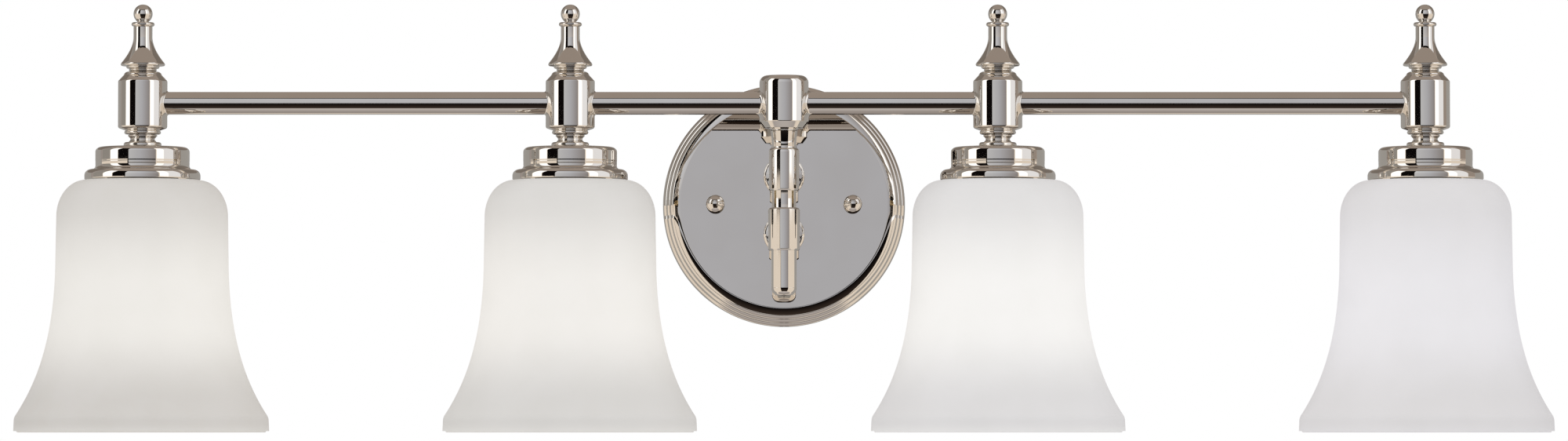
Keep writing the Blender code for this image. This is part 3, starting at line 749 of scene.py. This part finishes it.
def make_units():
    meshes = unit_meshes()
    fixture = "fixture"
    for i in UNITS:
        low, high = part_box(f"hub_{i}")
        at = Vector((low.x + high.x, low.y + high.y, 2 * (high.z - HUB_TOP * MM))) / 2
        ring, shade, bulb = f"shade_ring_{i}", f"shade_{i}", f"bulb_{i}"
        put(f"finial_{i}_turned", meshes["finial"], PLATE, f"finial_{i}", [f"finial_{i}"], at)
        put(f"neck_{i}_turned", meshes["neck"], PLATE, fixture, [f"neck_{i}"], at)
        put(f"cup_{i}_spun", meshes["cup"], PLATE, fixture, [f"cup_{i}"], at)
        put(f"socket_{i}_moulded", meshes["socket"], PHENOLIC, fixture, [f"socket_{i}"], at)
        put(f"socket_{i}_shell", meshes["shell"], CAP_BRASS, fixture, [], at)
        put(f"socket_{i}_tab", meshes["tab"], CAP_BRASS, fixture, [], at)
        put(f"{ring}_turned", meshes["ring"], RING_BRASS, ring, [ring], at)
        blown = put(f"{shade}_blown", meshes["shade"].copy(), OPAL[i], shade, [shade], at)
        glass = put(f"{bulb}_glass", meshes["bulb"], LAMP, bulb, [f"bulb_glass_{i}"], at)
        for glowing in (blown, glass):
            glowing.visible_glossy = False  # the nickel mirrors only the studio
        put(f"{bulb}_cap", meshes["cap"], CAP_BRASS, bulb, [f"bulb_base_{i}"], at)
        put(f"{bulb}_insulator", meshes["insulator"], PHENOLIC, bulb, [], at)
        put(f"{bulb}_contact", meshes["contact"], CAP_BRASS, bulb, [], at)
        hub = turned_bm(rounded(hub_outline()), FINE)
        for side in (-1, 1):
            if (i, side) not in ((1, -1), (4, 1)):
                saddle_into(hub, HUB_RADIUS, side, 1.0)
        hub_mesh = finished_mesh(hub, f"hub_{i}_mesh")
        put(f"hub_{i}_turned", hub_mesh, PLATE, fixture, [f"hub_{i}"], at)


# Bar, post and arms


def make_bar():
    bore = 5.0
    for i in UNITS:
        low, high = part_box(f"bar_tube_{i}")
        half = (high.x - low.x) / 2 / MM
        outline = [(TUBE_RADIUS, -half, 0.3), (TUBE_RADIUS, half, 0.3), (bore, half, 0.2), (bore, -half, 0.2)]
        mesh = turned(f"bar_tube_{i}_mesh", outline, FINE)
        at = (low + high) / 2
        put(f"bar_tube_{i}_drawn", mesh, PLATE, "fixture", [f"bar_tube_{i}"], at, ALONG_BAR)


def post_outline():
    """A tube that flares under the centre hub, thins at the sleeves and ends in a round tip."""
    bore = 5.4
    outline = [(0, -103.5), (2.4, -103.5, 1.0), (bore, -100.5, 2.0), (bore, -7.5)]
    outline += [(POST_RADIUS, -7.5), (POST_RADIUS, -14.9)]
    steps = 16
    for i in range(steps + 1):
        t = i / steps
        outline.append((7.45 - 0.85 * math.sin(math.pi / 2 * t) ** 0.8, -15.3 - 9.0 * t))
    outline += [(POST_RADIUS, -24.9), (POST_RADIUS, -46.5)]
    outline += [(POST_WAIST, -47.0), (POST_WAIST, -57.4)]
    outline += [(POST_RADIUS, -57.9), (POST_RADIUS, -100.7)]
    return outline + arc((2.6, -100.7), (4.3, 4.3), 0, -90, 16) + [(0, POST_END)]


def center_hub_outline():
    """From inside the post up: a collar, a chamfer, the barrel and a rounded top."""
    outline = [(0, -3.0), (SLEEVE_BORE, -3.0), (SLEEVE_BORE, -14.6, 0.2), (8.0, -14.6, 0.5)]
    outline += [(8.2, -13.7), (10.7, -13.6, 0.5), (HUB_RADIUS, -10.1, 0.7)]
    return outline + arc((9.4, 11.1), (4.0, 4.0), 0, 90, 14) + [(0, CENTER_HUB_TOP)]


def sleeve_outlines():
    """The upper sleeve has a domed top, and the lower one is a little broader, with bevels."""
    half, bore = SLEEVE_HALF, SLEEVE_BORE
    foot = [(8.3, 0.9 - half, 0.4), (7.7, -half, 0.3), (7.3, -half), (bore, 0.5 - half)]
    dome = arc((6.8, half - 1.9), (1.55, 1.9), 68, 0, 10)[:-1]
    upper = [(bore, half - 0.5), (7.2, half, 0.2)] + dome + [(8.35, half - 2.4)] + foot
    lower = [(bore, half - 0.5), (7.3, half), (8.0, half, 0.5), (8.7, half - 0.9, 0.5)]
    lower += [(8.7, 0.9 - half, 0.4), (8.1, -half, 0.3), (7.3, -half), (bore, 0.5 - half)]
    return {"upper": upper, "lower": lower}


def arm_outline():
    tube = [(ARM_RADIUS, 103.0), (ARM_BORE, 103.0)]
    return [(ARM_BORE, 14.0), (ARM_RADIUS, 14.0, 0.3)] + thread_rows(ARM_THREAD) + tube


def flange_outline():
    """A round foot on the canopy face that narrows to the arm."""
    outline = [(5.6, 24.05), (11.5, 24.05, 0.2), (11.5, 25.9)] + arc((9.4, 25.9), (2.1, 1.5), 0, 90, 12)
    return outline + [(8.0, 27.6, 0.5), (7.4, 31.3, 0.6), (5.6, 31.3)]


def make_stem():
    fixture = "fixture"
    at = centre_of("center_hub")
    at.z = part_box("center_hub")[1].z - CENTER_HUB_TOP * MM
    put("post_drawn", turned("post_mesh", post_outline(), FINE), PLATE, fixture, ["post"], at)
    hub = turned_bm(rounded(center_hub_outline()), FINE)
    for side in (-1, 1):
        saddle_into(hub, HUB_RADIUS, side, 2.2)
    hub_mesh = finished_mesh(hub, "center_hub_mesh")
    put("center_hub_turned", hub_mesh, PLATE, fixture, ["center_hub"], at)

    arm_mesh = turned("arm_mesh", arm_outline(), FINE, ARM_THREAD)
    flange_mesh = turned("flange_mesh", flange_outline(), FINE)
    nut_mesh = hex_nut("arm_locknut_mesh", 17.0, 5.55, 18.5, 22.5, 1.0)
    for level, outline in sleeve_outlines().items():
        arm, flange, nut, sleeve = (
            f"arm_{level}", f"arm_flange_{level}", f"arm_locknut_{level}", f"post_sleeve_{level}")
        place = centre_of(arm)
        on_wall = Vector((place.x, 0.0, place.z))
        put(f"{arm}_drawn", arm_mesh, PLATE, fixture, [arm], on_wall, FACING_ROOM)
        put(f"{flange}_turned", flange_mesh, PLATE, fixture, [flange], on_wall, FACING_ROOM)
        put(f"{nut}_hex", nut_mesh, ZINC, fixture, [nut], on_wall, FACING_ROOM)
        sleeve_mesh = turned(f"sleeve_{level}_mesh", outline, FINE)
        put(f"{sleeve}_turned", sleeve_mesh, PLATE, fixture, [sleeve], centre_of(sleeve))


# Canopy and wall side


def canopy_outline():
    """A pan open to the wall: three rolled steps, a drum, and a flat face with a softened edge."""
    outer = [(CANOPY_RADIUS, 0.0)]
    radius, foot, roll = CANOPY_RADIUS, 0.3, 4.2
    for _ in range(3):
        band = arc((radius - roll, foot), (roll, roll), 0, 57, 10)
        outer += band
        radius, foot = band[-1][0] - 0.08, band[-1][1] - 0.15
        outer.append((radius, foot))
    outer += [(62.2, 22.6, 0.4)]
    outer += arc((57.9, 15.0), (9.0, 9.0), 62, 90, 14)
    outer += [(50.0, CANOPY_DEPTH), (0, CANOPY_DEPTH)]
    inner = [(0, CANOPY_INSIDE), (58.0, CANOPY_INSIDE, 1.2), (61.0, 21.0, 1.0), (60.9, 9.5, 1.0)]
    return inner + [(67.1, 0.0)] + outer


def make_canopy(studs):
    middle = Vector((0.0, 0.0, centre_of("canopy").z))
    mesh = turned("canopy_mesh", canopy_outline(), 192)
    canopy = put("canopy_spun", mesh, FACE_PLATE, "fixture", ["canopy"], middle, FACING_ROOM, weighted=False)
    bpy.context.view_layer.update()
    for stud in studs:
        drill = turned_bm([(0, 15.0), (2.3, 15.0), (2.3, 30.0), (0, 30.0)], SMALL)
        drill.transform(Matrix.Translation((stud.x / MM, -(stud.z - middle.z) / MM, 0)))
        cut_out(canopy, finished_mesh(drill, "stud_drill"))
    for polygon in canopy.data.polygons:
        polygon.use_smooth = polygon.normal.z < 0.99999  # the face is flat, so it mirrors evenly
    canopy.data.materials.clear()
    canopy.data.materials.append(FACE_PLATE[0])
    smooth = canopy.modifiers.new("even_normals", "WEIGHTED_NORMAL")
    smooth.keep_sharp = True


def cap_nut_outline():
    """A ball on a short collar, with a blind threaded bore."""
    outline = [(0, 31.6), (2.1, 31.6)] + thread_rows(NUT_THREAD, downwards=True)
    outline += [(2.6, 24.1), (3.9, 24.1, 0.3), (3.95, 25.7, 0.4)]
    outline += arc((0, 31.15), (NUT_RADIUS, NUT_RADIUS), -48, 90, 24)
    outline[-1] = (0, 31.15 + NUT_RADIUS)
    return outline


def make_cap_nuts(studs):
    mesh = turned("cap_nut_mesh", cap_nut_outline(), FINE, NUT_THREAD)
    for side, stud in zip(SIDES, studs):
        nut = f"cap_nut_{side}"
        put(f"{nut}_turned", mesh, PLATE, nut, [nut], Vector((stud.x, 0.0, stud.z)), FACING_ROOM)


def loop_round(centre, radius, steps=24):
    return arc(centre, (radius, radius), 0, 360, steps)[:-1]


def slot_loop(height, radius, length):
    half = length / 2 - radius
    top = arc((0, height + half), (radius, radius), 0, 180, 12)
    return top + arc((0, height - half), (radius, radius), 180, 360, 12)


def bracket_loops():
    """A cross with rounded ends: two slots for the outlet box, two stud holes and a ground hole."""
    narrow, tall, wide, low = 10.0, 55.0, 46.0, 8.0
    quarter = [(wide, low, 3.0), (narrow, low, 1.0), (narrow, tall, 3.0)]
    rim = quarter + [(-x, z, r) for x, z, r in reversed(quarter)]
    rim += [(-x, -z, r) for x, z, r in quarter] + [(x, -z, r) for x, z, r in reversed(quarter)]
    loops = [rounded(rim)]
    loops += [slot_loop(side * 44.45, 3.0, 12.0) for side in (-1, 1)]
    loops += [loop_round((side * 38.5, 0.0), 2.25) for side in (-1, 1)]
    return loops + [loop_round((0.0, 24.0), 2.1)]


def stud_outline():
    return [(0, 0.2), (1.6, 0.2)] + thread_rows(STUD_THREAD) + [(1.4, STUD_END), (0, STUD_END)]


def ground_screw_outline():
    outline = [(0, 0.2), (1.8, 0.2), (1.85, 1.7), (4.3, 1.7, 0.3), (4.3, 3.1, 0.5)]
    outline += arc((0, 2.6), (4.0, 1.7), 18, 90, 10)
    outline[-1] = (0, 4.3)
    return outline


def make_wall_side(studs):
    holder = "wall_mount"
    wall = Vector((0.0, 0.0, centre_of("wall_bracket").z))
    plate = plate_mesh("bracket_mesh", bracket_loops(), BRACKET_THICKNESS, 0.25)
    put("wall_bracket_stamped", plate, ZINC, holder, ["wall_bracket"], wall)
    stud_mesh = turned("stud_mesh", stud_outline(), 32, STUD_THREAD)
    nut_mesh = hex_nut("stud_locknut_mesh", 8.7, 2.05, 1.9, 4.9, STUD_PITCH)
    for side, place in zip(SIDES, studs):
        stud, nut = f"mounting_stud_{side}", f"stud_locknut_{side}"
        at = Vector((place.x, 0.0, place.z))
        put(f"{stud}_threaded", stud_mesh, ZINC, holder, [stud], at, FACING_ROOM)
        put(f"{nut}_hex", nut_mesh, ZINC, holder, [nut], at, FACING_ROOM)

    head = finished_mesh(turned_bm(rounded(ground_screw_outline()), SMALL), "ground_screw_mesh")
    node = "ground_screw"
    place = centre_of(node)
    at = Vector((place.x, 0.0, place.z))
    screw = put("ground_screw_slotted", head, GREEN, holder, [node], at, FACING_ROOM, weighted=False)
    slot_box = Matrix.Translation((0, 0, 4.2)) @ Matrix.Diagonal((9.5, 1.0, 1.6, 1.0))
    slot = bmesh.new()
    bmesh.ops.create_cube(slot, size=1.0, matrix=slot_box)
    bpy.context.view_layer.update()
    cut_out(screw, finished_mesh(slot, "driver_slot"))


# Studio


def make_world():
    """Soft light from all round, and the studio's panels for what the polished metal mirrors.

    A direction is given by its turn, in degrees to the right of straight ahead into the room,
    and by its rise, in degrees above the horizon.
    """
    world = bpy.data.worlds.new("studio")
    bpy.context.scene.world = world
    shade = Shading(world)
    shade.tree.nodes.clear()
    direction = shade.add("ShaderNodeTexCoord").outputs["Generated"]
    axes = shade.add("ShaderNodeSeparateXYZ", {"Vector": direction}).outputs
    to_room = shade.math("MULTIPLY", axes["Y"], -1.0)
    turn = shade.math("DEGREES", shade.math("ARCTAN2", axes["X"], to_room))
    rise = shade.math("DEGREES", shade.math("ARCSINE", axes["Z"]))
    # A narrow strip under the horizon repeats the panels, for upright metal seen from just above.
    repeated = shade.within(rise, -4.2, -1.8, 0.1)
    rise = shade.math("MULTIPLY", rise, shade.remap(repeated, 0.0, 1.0, 1.0, -0.85))

    seen = mirrored_studio(shade, turn, rise, axes["Y"])
    from_below, from_above = (0.44, 0.44, 0.448, 1.0), (0.57, 0.565, 0.56, 1.0)
    soft = shade.blend(shade.remap(rise, -90.0, 90.0, 0.0, 1.0), from_below, from_above)
    path = shade.add("ShaderNodeLightPath").outputs
    colour = shade.blend(path["Is Glossy Ray"], soft, seen)
    colour = shade.blend(path["Is Camera Ray"], colour, grey(1.0))
    background = shade.add("ShaderNodeBackground", {"Color": colour, "Strength": 1.0})
    output = shade.add("ShaderNodeOutputWorld")
    shade.tree.links.new(background.outputs[0], output.inputs["Surface"])


def mirrored_studio(shade, turn, rise, toward_wall):
    """What polished metal mirrors: a light floor, dark rear, side panels and a grey card ahead."""
    tan = (0.60, 0.56, 0.54, 1.0)
    dim = (0.36, 0.32, 0.30, 1.0)
    low_side = (0.85, 0.75, 0.64, 1.0)
    rear = (0.38, 0.365, 0.345, 1.0)
    rear_top = (0.21, 0.18, 0.155, 1.0)
    side = (0.31, 0.29, 0.265, 1.0)
    pale = (0.91, 0.91, 0.93, 1.0)
    white = (1.4, 1.4, 1.4, 1.0)
    taupe = (0.345, 0.29, 0.25, 1.0)
    umber = (0.04, 0.028, 0.022, 1.0)
    black = (0.004, 0.003, 0.003, 1.0)

    def panel(under, colour, left, right, bottom, top, edge=0.6):
        across = shade.within(turn, left, right, 0.6)
        up = shade.within(rise, bottom, top, edge)
        return shade.blend(shade.math("MULTIPLY", across, up), under, colour)

    floor = shade.blend(shade.remap(toward_wall, -0.6, 0.2, 0.0, 1.0), tan, dim)
    seen = shade.blend(shade.remap(rise, -58.0, -54.0, 0.0, 1.0), floor, low_side)
    for left, right in ((-180, -112), (110, 180)):
        seen = panel(seen, rear, left, right, -46, 15)
        seen = panel(seen, rear_top, left, right, 15, 90)
    for left, right in ((-180, -177), (177, 180)):
        seen = panel(seen, dim, left, right, -70, -40)
        seen = panel(seen, umber, left, right, -40, 13)
    for left, right in ((-180, -168), (168, 180)):
        seen = panel(seen, taupe, left, right, 13, 90)
    panel_foot, panel_head = 2.22, 48
    side_panels = (
        (side, -110, -80),
        (dim, -118, -110),
        (white, -79, -57),
        (black, -56, -28),
        (white, 41, 60),
        (pale, 60, 88),
        (taupe, 88, 110),
    )
    for colour, left, right in side_panels:
        seen = panel(seen, colour, left, right, panel_foot, panel_head, 0.1)

    ahead_left, ahead_right = -28, 39
    sweep = shade.remap(turn, ahead_left, ahead_right, 0.0, 1.0)
    card_tones = ((0.57, 0.58, 0.60, 1.0), (0.47, 0.475, 0.51, 1.0), (0.28, 0.255, 0.25, 1.0))
    screen_tones = ((0.66, 0.67, 0.70, 1.0), (0.54, 0.555, 0.60, 1.0), (0.34, 0.32, 0.32, 1.0))
    card = shade.ramp(sweep, list(zip((0.0, 0.45, 1.0), card_tones)), "LINEAR")
    screen = shade.ramp(sweep, list(zip((0.0, 0.45, 1.0), screen_tones)), "LINEAR")
    dark_floor = shade.blend(shade.remap(rise, -50.0, -8.0, 1.0, 0.0), black, umber)
    card_foot, card_head = 0.5, 4.5
    seen = panel(seen, black, -31, -28, -56, 2.25)
    seen = panel(seen, dark_floor, ahead_left, ahead_right, -56, card_foot)
    seen = panel(seen, card, ahead_left, ahead_right, card_foot, card_head)
    seen = panel(seen, screen, ahead_left, ahead_right, card_head, 44)
    seen = shade.blend(shade.remap(rise, 46.0, 49.0, 0.0, 1.0), seen, taupe)
    return panel(seen, black, -29, 40, 44, 50)


def make_floor():
    half_width, below_shades = 13.0, 1.6
    bm = bmesh.new()
    bmesh.ops.create_grid(bm, x_segments=1, y_segments=1, size=half_width)
    floor = bpy.data.objects.new("floor", finished_mesh(bm, "floor", 1.0))
    bpy.context.scene.collection.objects.link(floor)
    floor.location = (0.0, centre_of("bar_tube_2").y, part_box("shade_1")[0].z - below_shades)
    floor.data.materials.append(floor_paint())
    floor.visible_glossy = False


def make_key_light():
    """A broad soft disk above and in front of the bar, which the metal doesn't mirror."""
    axis = centre_of("bar_tube_2")
    light = bpy.data.lights.new("key", "AREA")
    light.shape = "DISK"
    light.size = 2.5
    light.energy = 8.0
    light.color = (1.0, 0.985, 0.96)
    key = bpy.data.objects.new("key", light)
    bpy.context.scene.collection.objects.link(key)
    key.location = (0.0, axis.y - 2.2, 1.8)
    key.rotation_euler = (axis - key.location).to_track_quat("-Z", "Y").to_euler()
    key.visible_glossy = False


def make_camera():
    """Square to the wall, level with the shades' rims and tipped up a little."""
    distance, below_axis, aim_below_axis = 3.2, 0.1788, 0.064
    axis = centre_of("bar_tube_2")
    camera = bpy.data.objects.new("camera", bpy.data.cameras.new("camera"))
    bpy.context.scene.collection.objects.link(camera)
    camera.data.sensor_width = 36.0
    camera.data.lens = 134.7
    camera.data.clip_start = 0.05
    camera.location = (0.0, axis.y - distance, axis.z - below_axis)
    target = Vector((0.0, axis.y, axis.z - aim_below_axis))
    camera.rotation_euler = (target - camera.location).to_track_quat("-Z", "Y").to_euler()
    bpy.context.scene.camera = camera
    bpy.context.scene.view_settings.view_transform = "Standard"


make_units()
make_bar()
make_stem()
stud_places = [centre_of(f"mounting_stud_{side}") for side in SIDES]
make_canopy(stud_places)
make_cap_nuts(stud_places)
make_wall_side(stud_places)
make_world()
make_floor()
make_key_light()
make_camera()
